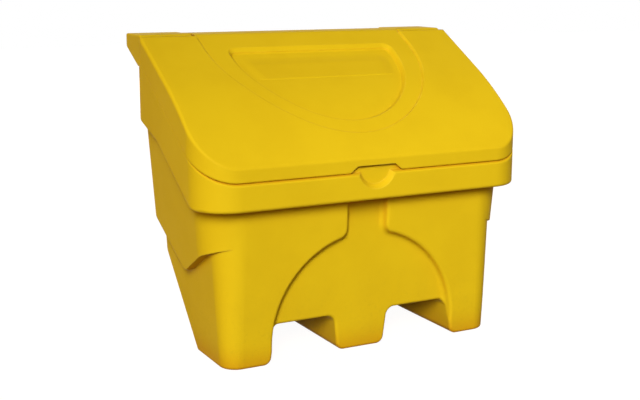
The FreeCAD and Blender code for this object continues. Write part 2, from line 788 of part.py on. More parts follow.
def outline_edge(edge, centre_y, radius, rear_y, corner):
    """True for an edge on a round-fronted outline of the lid, seen in plan."""
    if edge.BoundBox.ZLength > 0.9 * edge.Length:
        return False
    for point in edge.discretize(5):
        x, y = abs(point.x), point.y
        if y <= centre_y + 0.01:
            near = abs(math.hypot(x, y - centre_y) - radius) < 1.0
        else:
            turn = math.hypot(x - radius + corner, y - rear_y + corner)
            near = abs(x - radius) < 1.0 or abs(y - rear_y) < 1.0 or abs(turn - corner) < 1.0
        if not near:
            return False
    return True


def depth_of(edge):
    depths = [under_dome(vertex.Point) for vertex in edge.Vertexes
              if vertex.Point.y > D["lid_knee_y"].value - 0.01]
    return sum(depths) / len(depths) if depths else -1.0


def panel_edges(depth, inset=0.0):
    """Chooser of the panel's outline at a depth under the lid's top."""
    low = depth + along_slope(inset, lid_slope())
    radius, rear = D["panel_radius"] + inset, D["panel_rear_y"] + inset
    corner = D["panel_corner_radius"] + inset

    def choose(edge):
        found = outline_edge(edge, D["panel_centre_y"].value, radius.value, rear.value, corner.value)
        return found and abs(depth_of(edge) - low.value) < 1.0

    return choose


def yoke_rim_edge(edge):
    found = outline_edge(edge, D["yoke_centre_y"].value, D["yoke_radius"].value, 1000.0, 1.0)
    return found and abs(depth_of(edge)) < 1.0


def lid_seam_edge(edge):
    return all(abs(above_rim(point) - D["lid_gap"].value) < 0.1 for point in edge.discretize(5))


def lid_form(name, inset, low):
    drop = along_slope(inset, lid_slope())
    plan = rectangle(f"{name}_plan", D["lid_half_width"] - inset, D["lid_front_y"] + inset,
                     D["lid_rear_y"] - inset, D["lid_front_radius"] - inset, None, D["column_foot"])
    side = prism(f"{name}_profile", lid_curve(f"{name}_side", drop, low), D["crossing"], True)
    form = common(f"{name}_form", [prism(f"{name}_column", plan, D["column_height"]), side])
    form = shoulder(f"{name}_shoulder", form, inset)
    above = prism(f"{name}_above_yoke", lid_curve(f"{name}_yoke_side", drop + D["panel_drop"], None),
                  D["crossing"], True)
    foot, height = D["column_foot"], D["column_height"]
    yoke_half = D["yoke_radius"] + inset
    yoke = fuse(f"{name}_yoke", [
        cylinder(f"{name}_yoke_round", yoke_half, height, PLAN, 0.0, D["yoke_centre_y"], foot),
        box(f"{name}_yoke_flank", -yoke_half, D["yoke_centre_y"], foot, yoke_half * 2.0,
            D["lid_rear_y"] - D["yoke_centre_y"] + yoke_half, height)])
    form = cut(f"{name}_yoked", form, common(f"{name}_yoke_cut", [yoke, above]))
    deep = prism(f"{name}_above_panel",
                 lid_curve(f"{name}_panel_side", drop + D["panel_drop"] + D["panel_depth"], None),
                 D["crossing"], True)
    half = D["panel_radius"] + inset
    centre = D["panel_centre_y"]
    panel_round = cylinder(f"{name}_panel_round", half, height, PLAN, 0.0, centre, foot)
    front_box = box(f"{name}_panel_front_box", -half, centre - half, foot, half * 2.0, half, height)
    rear_box = box(f"{name}_panel_rear_box", -half, centre, foot, half * 2.0, half, height)
    flank = prism(f"{name}_panel_flank", rectangle(
        f"{name}_panel_flank_plan", half, centre - half, D["panel_rear_y"] + inset, 1.0,
        D["panel_corner_radius"] + inset, foot), height)
    panel = fuse(f"{name}_panel", [common(f"{name}_panel_front", [panel_round, front_box]),
                                   common(f"{name}_panel_rear", [flank, rear_box])])
    form = cut(f"{name}_panelled", form, common(f"{name}_panel_cut", [panel, deep]))
    if inset is NONE:
        floor = panel_edges(D["panel_drop"] + D["panel_depth"])
        form = fillet(f"{name}_panel_foot", form, floor, D["panel_floor_radius"])
        form = chamfer(f"{name}_panel_rim", form, panel_edges(D["panel_drop"]), D["panel_rim_chamfer"])
        form = chamfer(f"{name}_yoke_rim", form, yoke_rim_edge, D["yoke_rim_chamfer"])
        return fillet(f"{name}_seam_edges", form, lid_seam_edge, D["seam_radius"])
    narrower = D["panel_rim_chamfer"] - size(inset) * (2.0 - math.sqrt(2.0))
    return chamfer(f"{name}_panel_rim", form, panel_edges(D["panel_drop"], inset), narrower)


def arm(name):
    """Arm and knuckle between the housings, from inside the lid to behind the axis."""
    rear = D["axis_y"] + D["knuckle_radius"]
    top = D["axis_z"] + D["knuckle_radius"]
    slope = lid_slope()
    start = D["lid_rear_y"] - D["arm_overlap"]
    start_z = D["lid_rear_z"] - D["panel_drop"] - slope * D["arm_overlap"]
    bend = D["lid_rear_y"] + (top - D["lid_rear_z"] + D["panel_drop"]) / slope
    side = outline(f"{name}_side", SIDE, [
        (start, D["arm_under_z"], None),
        (D["arm_under_y"], D["arm_under_z"], D["arm_bend_radius"]),
        (D["knuckle_under_y"], D["knuckle_under_z"], D["arm_bend_radius"]),
        (rear, D["knuckle_under_z"], D["knuckle_under_radius"]),
        (rear, top, D["knuckle_corner_radius"]),
        (bend, top, D["arm_top_radius"]),
        (start, start_z, None)], x=-D["arm_half_width"])
    return prism(name, side, D["arm_half_width"] * 2.0)


def bays(name):
    """Hollows under the arm and the knuckle, between the ribs that carry the rod."""
    rear = D["axis_y"] + D["knuckle_radius"] - WALL
    top = D["axis_z"] + D["knuckle_radius"] - WALL
    slope = lid_slope()
    start = D["lid_rear_y"]
    start_z = D["lid_rear_z"] - D["panel_drop"] - along_slope(WALL, slope)
    bend = start + (top - start_z) / slope
    half = D["rib"] / 2.0
    edges = [(-(D["arm_half_width"] - D["rib"]), -(D["rib_outer_x"] + half)),
             (-(D["rib_outer_x"] - half), -(D["rib_inner_x"] + half)),
             (-(D["rib_inner_x"] - half), D["rib_inner_x"] - half),
             (D["rib_inner_x"] + half, D["rib_outer_x"] - half),
             (D["rib_outer_x"] + half, D["arm_half_width"] - D["rib"])]
    found = []
    for number, (left, right) in enumerate(edges, start=1):
        side = outline(f"{name}_{number}_side", SIDE, [
            (start, D["knuckle_under_z"] - D["run_out"], None),
            (rear, D["knuckle_under_z"] - D["run_out"], None),
            (rear, top, D["knuckle_corner_radius"] - WALL),
            (bend, top, D["bay_top_radius"]),
            (start, start_z, None)], x=left)
        found.append(prism(f"{name}_{number}", side, right - left))
    return fuse(name, found)


def build_lid():
    outside = lid_form("lid", NONE, D["lid_gap"])
    outside = fuse("lid_with_arm", [outside, arm("arm")])
    inside = lid_form("lid_in", WALL, -D["run_out"] * 3.0)
    shell = cut("lid_shell", outside, inside)
    shell = cut("lid_bays", shell, bays("bay"))
    notch = prism("notch", outline("notch_front", FRONT, [
        (-D["notch_low_half_width"], D["notch_low_z"], None),
        (D["notch_low_half_width"], D["notch_low_z"], None),
        (D["notch_top_half_width"], D["notch_z"], D["notch_corner_radius"]),
        (-D["notch_top_half_width"], D["notch_z"], D["notch_corner_radius"])],
        y=D["lid_front_y"] + D["run_out"] * 2.0), D["run_out"] * 4.0)
    shell = cut("lid_notched", shell, notch)
    bore = cylinder("lid_bore", D["bore_diameter"] / 2.0, D["arm_half_width"] * 2.0 + D["run_out"], ALONG_X,
                    -(D["arm_half_width"] + D["run_out"] / 2.0), D["axis_y"], D["axis_z"])
    lid = cut("lid_bored", shell, bore)
    lid.Label = "lid"
    return lid


def plane_of(body, role):
    return next(item for item in body.Origin.OriginFeatures if item.Role == role)


def turned(label, half_section, chamfer_at):
    """Body turned about the X axis from its half section, with one sharp end edge taken off."""
    body = DOC.addObject("PartDesign::Body", label)
    sketch = body.newObject("Sketcher::SketchObject", f"{label}_section")
    sketch.AttachmentSupport = [(plane_of(body, "XY_Plane"), "")]
    sketch.MapMode = "FlatFace"
    count = len(half_section)
    lines = []
    for i in range(count):
        (x1, y1), (x2, y2) = half_section[i], half_section[(i + 1) % count]
        lines.append(sketch.addGeometry(Part.LineSegment(V(size(x1).value, size(y1).value, 0),
                                                         V(size(x2).value, size(y2).value, 0)), False))
    for i in range(count):
        sketch.addConstraint(Sketcher.Constraint("Coincident", lines[i - 1], 2, lines[i], 1))
        at(sketch, lines[i], 1, *half_section[i])
    turn = body.newObject("PartDesign::Revolution", f"{label}_turned")
    turn.Profile = sketch
    turn.ReferenceAxis = (sketch, ["H_Axis"])
    turn.Angle = 360.0
    DOC.recompute()
    names = [f"Edge{i}" for i, edge in enumerate(turn.Shape.Edges, start=1)
             if edge.Closed and any(abs(edge.CenterOfMass.x - size(x).value) < 0.01 for x in chamfer_at)]
    chamfer = body.newObject("PartDesign::Chamfer", f"{label}_chamfer")
    chamfer.Base = (turn, names)
    bind(chamfer, "Size", D["plug_chamfer"])
    body.Label = label
    return place(body, PLAN, 0.0, D["axis_y"], D["axis_z"])


def build_rod():
    radius = D["rod_diameter"] / 2.0
    left, right = -D["rod_left"], D["rod_right"]
    return turned("hinge_rod", [(left, 0.0), (right, 0.0), (right, radius), (left, radius)], (left, right))


def build_plug():
    stem = D["rod_diameter"] / 2.0
    head = D["plug_head_diameter"] / 2.0
    face = D["housing_outer"]
    start = face - D["plug_stem"]
    end = face + D["plug_head"]
    return turned("hinge_plug", [(start, 0.0), (end, 0.0), (end, head), (face, head), (face, stem),
                                 (start, stem)], (start, end))


def main():
    nodes = [build_tub(), build_lid(), build_rod(), build_plug()]
    DOC.recompute()
    faults = [item.Name for item in DOC.Objects
              if "Invalid" in item.State or "Error" in item.State]
    if faults:
        raise RuntimeError(f"objects in error: {faults}")
    os.makedirs("parts", exist_ok=True)
    for node in nodes:
        shape = node.Shape
        if shape.isNull() or not shape.isValid() or len(shape.Solids) != 1:
            raise RuntimeError(f"{node.Label}: {len(shape.Solids)} solids, valid {shape.isValid()}")
        shape.exportStep(f"parts/{node.Label}.step")
        box_of = shape.BoundBox
        print(node.Label, round(shape.Volume), len(shape.Faces), box_of)


main()
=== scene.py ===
import math

import bpy
from bpy.props import FloatProperty, FloatVectorProperty, PointerProperty
from mathutils import Euler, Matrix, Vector


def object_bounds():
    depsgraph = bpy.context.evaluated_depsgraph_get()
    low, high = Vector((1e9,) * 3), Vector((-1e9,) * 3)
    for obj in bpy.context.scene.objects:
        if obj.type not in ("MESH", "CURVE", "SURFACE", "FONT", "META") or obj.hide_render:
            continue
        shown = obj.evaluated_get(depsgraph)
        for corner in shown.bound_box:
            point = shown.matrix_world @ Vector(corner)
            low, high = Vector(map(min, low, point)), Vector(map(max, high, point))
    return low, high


bl_info = {
    "name": "Grit salt bin",
    "version": (1, 0, 0),
    "blender": (4, 5, 0),
    "location": "3D View > Sidebar > Grit bin",
    "description": "Finishes a moulded grit salt bin and sets it on a pale studio floor",
    "category": "Object",
}

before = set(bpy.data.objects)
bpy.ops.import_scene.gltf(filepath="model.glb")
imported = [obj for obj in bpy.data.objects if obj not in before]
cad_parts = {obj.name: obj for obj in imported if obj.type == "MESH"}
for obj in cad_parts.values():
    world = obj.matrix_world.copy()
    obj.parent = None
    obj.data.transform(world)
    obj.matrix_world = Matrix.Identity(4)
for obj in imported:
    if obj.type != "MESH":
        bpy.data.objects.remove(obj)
CAD_LOW, CAD_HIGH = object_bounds()
MIDDLE = (CAD_LOW + CAD_HIGH) / 2

WHITE = (1.0, 1.0, 1.0, 1.0)

# Patterns per metre that break up the worn edges with their painted highlights, and the dirt.
WORN_AND_HIGHLIT_PATCHES = 38.0
DIRT_SPOTS = 90.0
DIRT_FILM = 9.0

# How fine a pattern is against the one that it goes with.
WAVES_TO_DIMPLES = 0.07
FLECKS_TO_CLOUDS = 60.0

# Share that each of two patterns has in its mask.
CLOUD_SHARE, FLECK_SHARE = 0.75, 0.25
SPOT_SHARE, FILM_SHARE = 0.6, 0.4

# Rays at each point for the worn edges with painted highlights, the softened edges and the painted
# shade in joints and corners.
WEAR_AND_HIGHLIGHT_SAMPLES, SOFT_SAMPLES, PAINTED_SHADE_SAMPLES = 8, 12, 12

# Roughness that a full mask adds.
CLOUD_ROUGHNESS = 0.10
DIRT_ROUGHNESS = 0.35
ZINC_ROUGHNESS = 0.25

# Height of the dirt on a piece that has none, in metres.
NO_DIRT = 0.0001

# Stage. The sensor is in millimetres, and the lengths are in metres.
SENSOR_WIDTH = 36.0
FARTHEST_VIEW = 100.0
FLOOR_WIDTH = 24.0
FLOOR_ROUGHNESS = 0.9

# Sockets of a Mix node for colours, which share their names with those for numbers.
MIX_FACTOR, MIX_FIRST, MIX_SECOND, MIX_RESULT = 0, 6, 7, 2


# Sizes and colours.

def colour(name, text, value):
    return FloatVectorProperty(name=name, description=text, subtype="COLOR", size=3,
                               min=0.0, max=1.0, default=value)


def point(name, text, value):
    return FloatVectorProperty(name=name, description=text, subtype="TRANSLATION",
                               unit="LENGTH", size=3, default=value)


def length(name, text, value):
    return FloatProperty(name=name, description=text, unit="LENGTH", min=0.0, default=value)


def share(name, text, value):
    return FloatProperty(name=name, description=text, subtype="FACTOR", min=0.0, max=1.0,
                         default=value)


def angle(name, text, degrees):
    return FloatProperty(name=name, description=text, subtype="ANGLE", unit="ROTATION",
                         default=math.radians(degrees))


def watts(name, text, value):
    return FloatProperty(name=name, description=text, unit="POWER", min=0.0, default=value)


class PlasticSettings(bpy.types.PropertyGroup):
    """Sizes and colours of the yellow moulded plastic."""
    yellow: colour("Yellow", "Colour of the moulded plastic", (0.705, 0.490, 0.009))
    deep_yellow: colour("Deep yellow", "Colour of the darker clouds in the plastic",
                        (0.620, 0.410, 0.007))
    # Partly real wear, partly a painted highlight: a paler colour on the edges where they catch
    # the light.
    rubbed: colour("Rubbed yellow", "Colour of the plastic where edges are rubbed",
                   (0.950, 0.740, 0.100))
    # Painted shade: an orange-brown colour in joints, inner corners and under overhangs, where
    # shade and warm bounced light fall.
    crevice: colour("Crevice", "Colour of the plastic deep in joints and corners",
                    (0.540, 0.200, 0.004))
    grime: colour("Grime", "Colour of the dirt that settles low down", (0.200, 0.120, 0.020))
    clouds: share("Clouds", "Strength of the soft clouds in the colour", 0.35)
    # Strength of the paler edges, which are partly wear and partly a painted highlight.
    rubbing: share("Rubbing", "Strength of the paler worn and highlit edges", 0.45)
    # Strength of the painted shade in joints and corners.
    painted_shade_strength: share("Joint dark", "Strength of the dark colour in joints and corners", 0.70)
    dirt: share("Dirt", "Strength of the settled dirt", 0.15)
    gloss: share("Roughness", "Roughness of the plastic between marks", 0.48)
    sheen: share("Specular level", "Share of the light that the plastic's skin reflects", 0.02)
    cloud_size: length("Cloud size", "Size of a cloud in the colour", 0.16)
    edge_width: length("Edge width", "Width of the rubbed band along an edge", 0.005)
    edge_radius: length("Edge radius", "Radius that the light sees on sharp edges", 0.0045)
    # Reach of the painted shade from a joint or corner.
    painted_shade_reach: length("Joint reach", "How far from a joint or corner its dark colour reaches",
                        0.100)
    dirt_height: length("Dirt height", "How high above the ground the tub is dirty", 0.30)
    peel_size: length("Skin dimple", "Size of one dimple of the moulded skin", 0.0035)
    peel_depth: length("Skin depth", "Depth of the dimples of the moulded skin", 0.00006)
    peel_waves: FloatProperty(name="Skin waves", min=0.0, default=2.5,
                              description="Height of the skin's slow waves against its dimples")


class BendSettings(bpy.types.PropertyGroup):
    """The slight bend across the lid's panel."""
    place: FloatProperty(name="Bend place", description="Where the bend crosses the panel",
                         unit="LENGTH", default=-0.0170)
    line: length("Bend line", "Width of the slope along the bend", 0.0070)
    rise: length("Bend rise", "How much the zone behind the bend stands out", 0.0030)
    fade: length("Bend fade", "Width over which the raised zone sinks back at its other edges",
                 0.0350)
    top: length("Bend top", "Where the raised zone behind the bend ends", 0.0760)
    centre: length("Panel centre", "Centre of the panel's arc, back from the middle", 0.0730)
    radius: length("Panel floor radius", "Radius of the flat floor of the panel", 0.2300)
    # Painted shade: the raised zone behind the bend is darkened with deep yellow where the light
    # falls on it less.
    dulling: share("Dulling", "How much deep yellow the raised zone takes", 0.22)


class SteelSettings(bpy.types.PropertyGroup):
    """Sizes and colours of the galvanised hinge rod."""
    zinc: colour("Zinc", "Colour of the galvanised rod", (0.560, 0.575, 0.590))
    dull_zinc: colour("Dull zinc", "Colour of the dull patches of the zinc",
                      (0.330, 0.340, 0.350))
    patches: share("Patches", "Strength of the dull patches", 0.8)
    patch_size: length("Patch size", "Size of a patch of the zinc", 0.006)
    roughness: share("Roughness", "Roughness of the rod", 0.38)


class PlugSettings(bpy.types.PropertyGroup):
    """Sizes and colours of the plug at the rod's end."""
    black: colour("Black", "Colour of the plug", (0.018, 0.018, 0.020))
    chalky: colour("Chalky black", "Colour of the weathered patches of the plug",
                   (0.060, 0.060, 0.062))
    patches: share("Patches", "Strength of the weathered patches", 0.8)
    patch_size: length("Patch size", "Size of a weathered patch", 0.008)
    roughness: share("Roughness", "Roughness of the plug", 0.48)
    skin_size: length("Skin dimple", "Size of one dimple of the moulded skin", 0.0012)
    skin_depth: length("Skin depth", "Depth of the dimples of the moulded skin", 0.00002)


class StageSettings(bpy.types.PropertyGroup):
    """Camera, lamps and floor."""
    camera_place: point("Camera place", "Where the camera stands", (-1.4355, -2.6906, 0.9865))
    camera_turn: angle("Turn", "Turn of the camera to the right of straight ahead", 27.77)
    camera_dip: angle("Dip", "How far the camera looks down", 11.51)
    camera_roll: angle("Roll", "Roll of the camera", 0.14)
    lens: FloatProperty(name="Lens", description="Focal length of the camera in millimetres",
                        unit="CAMERA", min=1.0, default=63.05)
    key_place: point("Key place", "Where the large soft lamp hangs", (-4.05, -6.60, 4.30))
    key_aim: point("Key aim", "Point that the large soft lamp faces", (0.70, -0.30, 0.05))
    key_width: length("Key width", "Width of the large soft lamp", 2.6)
    key_height: length("Key height", "Height of the large soft lamp", 4.4)
    key_spread: angle("Key spread", "Angle of the large soft lamp's beam", 40.0)
    key_watts: watts("Key lamp", "Power of the large soft lamp", 70.0)
    fill_place: point("Fill place", "Where the warm fill lamp hangs", (-5.0, 0.6, 0.9))
    fill_size: length("Fill size", "Width and height of the warm fill lamp", 3.0)
    fill_watts: watts("Fill lamp", "Power of the warm fill lamp", 26.0)
    fill_tint: colour("Fill tint", "Colour of the warm fill lamp", (1.00, 0.42, 0.12))
    back_place: point("Back place", "Where the lamp behind the bin hangs", (0.4, 7.5, 1.2))
    back_size: length("Back size", "Width and height of the lamp behind the bin", 3.0)
    back_watts: watts("Back lamp", "Power of the lamp behind the bin", 230.0)
    room_light: share("Room light", "Strength of the even light of the room", 0.17)
    room_tint: colour("Room tint", "Colour of the even light of the room", (1.00, 0.60, 0.30))
    floor: colour("Floor", "Colour of the floor", (0.14, 0.09, 0.05))
    floor_glow: share("Floor white", "White that the camera sees over the floor's own light", 0.95)


class GritBinSettings(bpy.types.PropertyGroup):
    """All the settings of the grit bin."""
    plastic: PointerProperty(type=PlasticSettings, name="Plastic", description="Tub and lid")
    bend: PointerProperty(type=BendSettings, name="Bend", description="Bend across the panel")
    steel: PointerProperty(type=SteelSettings, name="Steel", description="Hinge rod")
    plug: PointerProperty(type=PlugSettings, name="Plug", description="Plug of the hinge")
    stage: PointerProperty(type=StageSettings, name="Stage", description="Camera, lamps, floor")


def settings():
    return bpy.context.scene.grit_bin


# Shader nodes.

def opaque(value):
    return (*value, 1.0)


def feed(tree, socket, value):
    """Links an output to the socket, or gives the socket a plain value."""
    if isinstance(value, bpy.types.NodeSocket):
        tree.links.new(value, socket)
    else:
        socket.default_value = value


def set_node(tree, node, **values):
    """Sets inputs, whose names start with a capital, and the node's own properties."""
    for name, value in values.items():
        if name[0].isupper():
            feed(tree, node.inputs[name.replace("_", " ")], value)
        else:
            setattr(node, name, value)
    return node


def add(tree, kind, **values):
    return set_node(tree, tree.nodes.new(kind), **values)


def maths(tree, operation, *values, clamp=False):
    node = add(tree, "ShaderNodeMath", operation=operation, use_clamp=clamp)
    for socket, value in zip(node.inputs, values):
        feed(tree, socket, value)
    return node.outputs[0]


def product(tree, first, *others):
    for value in others:
        first = maths(tree, "MULTIPLY", first, value)
    return first


def blend(tree, factor, first, second):
    node = add(tree, "ShaderNodeMix", data_type="RGBA")
    for index, value in ((MIX_FACTOR, factor), (MIX_FIRST, first), (MIX_SECOND, second)):
        feed(tree, node.inputs[index], value)
    return node.outputs[MIX_RESULT]


def spread(tree, value, low, high):
    """Smooth step from 0 at the low value to 1 at the high one, which may be the smaller."""
    return add(tree, "ShaderNodeMapRange", interpolation_type="SMOOTHSTEP",
               Value=value, From_Min=low, From_Max=high).outputs["Result"]


def noise(tree, place, scale, detail, roughness):
    return add(tree, "ShaderNodeTexNoise", Vector=place, Scale=scale, Detail=detail,
               Roughness=roughness).outputs["Fac"]


def bump(tree, height, depth, **normal):
    """Normal of a surface raised by the height times the depth, over another normal if given."""
    return add(tree, "ShaderNodeBump", Distance=depth, Height=height, **normal).outputs["Normal"]


# Effects that materials share. Each is a node group, built the first time it's used.

FLOAT, VECTOR, COLOUR = "NodeSocketFloat", "NodeSocketVector", "NodeSocketColor"


def new_group(name, inputs, outputs):
    """Empty node group; an input is (name, socket type, default), an output the first two."""
    group = bpy.data.node_groups.new(name, "ShaderNodeTree")
    for label, kind, default in inputs:
        socket = group.interface.new_socket(label, in_out="INPUT", socket_type=kind)
        if default is not None:
            socket.default_value = default
    for label, kind in outputs:
        group.interface.new_socket(label, in_out="OUTPUT", socket_type=kind)
    given, result = group.nodes.new("NodeGroupInput"), group.nodes.new("NodeGroupOutput")
    return group, given.outputs, result


def effect(tree, builder, **values):
    """Outputs of a shared effect that is placed in a material with its own values."""
    name = builder.__name__.replace("_", " ")
    group = bpy.data.node_groups.get(name) or builder(name)
    return add(tree, "ShaderNodeGroup", node_tree=group, **values).outputs


def moulded_skin(name):
    """Fine dimples and slow waves of a rotationally moulded skin, as a height."""
    group, given, result = new_group(
        name, [("Place", VECTOR, None), ("Dimple Size", FLOAT, 0.004), ("Wave Share", FLOAT, 0.5)],
        [("Height", FLOAT)])
    fineness = maths(group, "DIVIDE", 1.0, given["Dimple Size"])
    dimples = noise(group, given["Place"], fineness, detail=2.0, roughness=0.45)
    waves = noise(group, given["Place"], product(group, fineness, WAVES_TO_DIMPLES),
                  detail=1.0, roughness=0.5)
    height = maths(group, "MULTIPLY_ADD", waves, given["Wave Share"], dimples)
    set_node(group, result, Height=height)
    return group


def pigment_clouds(name):
    """Soft clouds and fine flecks between two colours."""
    group, given, result = new_group(
        name, [("Place", VECTOR, None), ("Colour", COLOUR, None), ("Cloud Colour", COLOUR, None),
               ("Cloud Size", FLOAT, 0.15), ("Strength", FLOAT, 0.5)],
        [("Colour", COLOUR), ("Mask", FLOAT)])
    scale = maths(group, "DIVIDE", 1.0, given["Cloud Size"])
    clouds = spread(group, noise(group, given["Place"], scale, detail=3.0, roughness=0.55),
                    low=0.38, high=0.66)
    flecks = spread(group, noise(group, given["Place"], product(group, scale, FLECKS_TO_CLOUDS),
                                 detail=2.0, roughness=0.6), low=0.45, high=0.75)
    both = maths(group, "MULTIPLY_ADD", clouds, CLOUD_SHARE, product(group, flecks, FLECK_SHARE))
    mask = product(group, both, given["Strength"])
    set_node(group, result, Mask=mask,
             Colour=blend(group, mask, given["Colour"], given["Cloud Colour"]))
    return group


def worn_and_highlit_edges(name):
    """Mask of the edges, broken up by noise, from how far a rounded normal leaves the true one. It
    paints partly wear and partly a highlight on the edges.
    """
    group, given, result = new_group(
        name, [("Place", VECTOR, None), ("Width", FLOAT, 0.005), ("Strength", FLOAT, 0.5)],
        [("Mask", FLOAT)])
    rounded = add(group, "ShaderNodeBevel", samples=WEAR_AND_HIGHLIGHT_SAMPLES, Radius=given["Width"])
    true = add(group, "ShaderNodeNewGeometry")
    dot = add(group, "ShaderNodeVectorMath", operation="DOT_PRODUCT")
    for socket, node in zip(dot.inputs, (rounded, true)):
        feed(group, socket, node.outputs["Normal"])
    edge = spread(group, dot.outputs["Value"], low=0.995, high=0.86)
    broken = spread(group, noise(group, given["Place"], WORN_AND_HIGHLIT_PATCHES, detail=4.0, roughness=0.62),
                    low=0.36, high=0.62)
    set_node(group, result, Mask=product(group, edge, broken, given["Strength"]))
    return group


def softened_edges(name):
    """Normal of the surface with every edge rounded by a small radius."""
    group, given, result = new_group(name, [("Radius", FLOAT, 0.002)], [("Normal", VECTOR)])
    rounded = add(group, "ShaderNodeBevel", samples=SOFT_SAMPLES, Radius=given["Radius"])
    set_node(group, result, Normal=rounded.outputs["Normal"])
    return group


def painted_shade_in_hollows(name):
    """Mask of painted shade in joints, inner corners and under overhangs, from how closed in the
    surface is.
    """
    group, given, result = new_group(
        name, [("Reach", FLOAT, 0.01), ("Strength", FLOAT, 0.5)], [("Mask", FLOAT)])
    open_air = add(group, "ShaderNodeAmbientOcclusion", samples=PAINTED_SHADE_SAMPLES,
                   Distance=given["Reach"]).outputs["AO"]
    closed = spread(group, open_air, low=0.95, high=0.30)
    set_node(group, result, Mask=product(group, closed, given["Strength"]))
    return group


def settled_dirt(name):
    """Mask of the dirt splashed low down, heavier towards the ground."""
    group, given, result = new_group(
        name, [("Place", VECTOR, None), ("Reach", FLOAT, 0.25), ("Strength", FLOAT, 0.3)],
        [("Mask", FLOAT)])
    height = add(group, "ShaderNodeSeparateXYZ", Vector=given["Place"]).outputs["Z"]
    low_down = spread(group, height, low=given["Reach"], high=0.0)
    spots = spread(group, noise(group, given["Place"], DIRT_SPOTS, detail=5.0, roughness=0.7),
                   low=0.5, high=0.72)
    film = spread(group, noise(group, given["Place"], DIRT_FILM, detail=3.0, roughness=0.6),
                  low=0.35, high=0.7)
    both = maths(group, "MULTIPLY_ADD", spots, SPOT_SHARE, product(group, film, FILM_SHARE))
    set_node(group, result, Mask=product(group, low_down, both, given["Strength"]))
    return group


# Materials.

def new_material(name):
    material = bpy.data.materials.new(name)
    material.use_nodes = True
    tree = material.node_tree
    return material, tree, tree.nodes["Principled BSDF"]


def object_place(tree):
    return add(tree, "ShaderNodeTexCoord").outputs["Object"]


def raised_zone(tree, place, bend):
    """Mask of the slightly raised zone behind the bend across the lid's panel."""
    axes = add(tree, "ShaderNodeSeparateXYZ", Vector=place).outputs
    aside, back = axes["X"], maths(tree, "SUBTRACT", axes["Y"], bend.centre)
    radius = maths(tree, "SQRT", maths(tree, "MULTIPLY_ADD", aside, aside,
                                       product(tree, back, back)))
    return product(tree, spread(tree, radius, bend.radius, bend.radius - bend.fade),
                   spread(tree, axes["Y"], bend.place, bend.place + bend.line),
                   spread(tree, axes["Y"], bend.top, bend.top - bend.fade))


def yellow_plastic(name, dirt_height, bend=None):
    """Moulded yellow plastic, dirty up to a height in metres, with worn edges that carry a painted
    highlight, painted shade in joints and corners, and with the bend and its painted shade if
    given.
    """
    look = settings().plastic
    material, tree, shader = new_material(name)
    place = object_place(tree)
    clouds = effect(tree, pigment_clouds, Place=place, Colour=opaque(look.yellow),
                    Cloud_Colour=opaque(look.deep_yellow), Cloud_Size=look.cloud_size,
                    Strength=look.clouds)
    # Paler edges: partly wear, partly a painted highlight.
    edges = effect(tree, worn_and_highlit_edges, Place=place, Width=look.edge_width, Strength=look.rubbing)
    # Painted shade in joints, corners and under overhangs.
    joints = effect(tree, painted_shade_in_hollows, Reach=look.painted_shade_reach, Strength=look.painted_shade_strength)
    dirt = effect(tree, settled_dirt, Place=place, Reach=dirt_height, Strength=look.dirt)
    skin = effect(tree, moulded_skin, Place=place, Dimple_Size=look.peel_size,
                  Wave_Share=look.peel_waves)
    normal = effect(tree, softened_edges, Radius=look.edge_radius)["Normal"]
    # Layers over the clouds: edges with wear and a painted highlight, painted shade in joints and
    # corners, and the dirt.
    layers = [(edges["Mask"], look.rubbed), (joints["Mask"], look.crevice),
              (dirt["Mask"], look.grime)]
    if bend is not None:
        zone = raised_zone(tree, place, bend)
        # Painted shade on the raised zone behind the bend, besides its bump.
        layers.insert(0, (product(tree, zone, bend.dulling), look.deep_yellow))
        normal = bump(tree, zone, bend.rise, Normal=normal)
    surface = clouds["Colour"]
    for mask, tint in layers:
        surface = blend(tree, mask, surface, opaque(tint))
    rough = maths(tree, "MULTIPLY_ADD", clouds["Mask"], CLOUD_ROUGHNESS, look.gloss)
    rough = maths(tree, "MULTIPLY_ADD", dirt["Mask"], DIRT_ROUGHNESS, rough, clamp=True)
    set_node(tree, shader, Base_Color=surface, Roughness=rough, Specular_IOR_Level=look.sheen,
             Normal=bump(tree, skin["Height"], look.peel_depth, Normal=normal))
    return material


def galvanised_steel():
    look = settings().steel
    material, tree, shader = new_material("galvanised rod")
    patches = effect(tree, pigment_clouds, Place=object_place(tree), Colour=opaque(look.zinc),
                     Cloud_Colour=opaque(look.dull_zinc), Cloud_Size=look.patch_size,
                     Strength=look.patches)
    rough = maths(tree, "MULTIPLY_ADD", patches["Mask"], ZINC_ROUGHNESS, look.roughness)
    set_node(tree, shader, Base_Color=patches["Colour"], Roughness=rough, Metallic=1.0)
    return material


def black_plastic():
    look = settings().plug
    material, tree, shader = new_material("black plug")
    place = object_place(tree)
    patches = effect(tree, pigment_clouds, Place=place, Colour=opaque(look.black),
                     Cloud_Colour=opaque(look.chalky), Cloud_Size=look.patch_size,
                     Strength=look.patches)
    skin = effect(tree, moulded_skin, Place=place, Dimple_Size=look.skin_size, Wave_Share=0.0)
    set_node(tree, shader, Base_Color=patches["Colour"], Roughness=look.roughness,
             Normal=bump(tree, skin["Height"], look.skin_depth))
    return material


def dress(node, material):
    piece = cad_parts[node]
    piece.data.materials.clear()
    piece.data.materials.append(material)


# Stage.

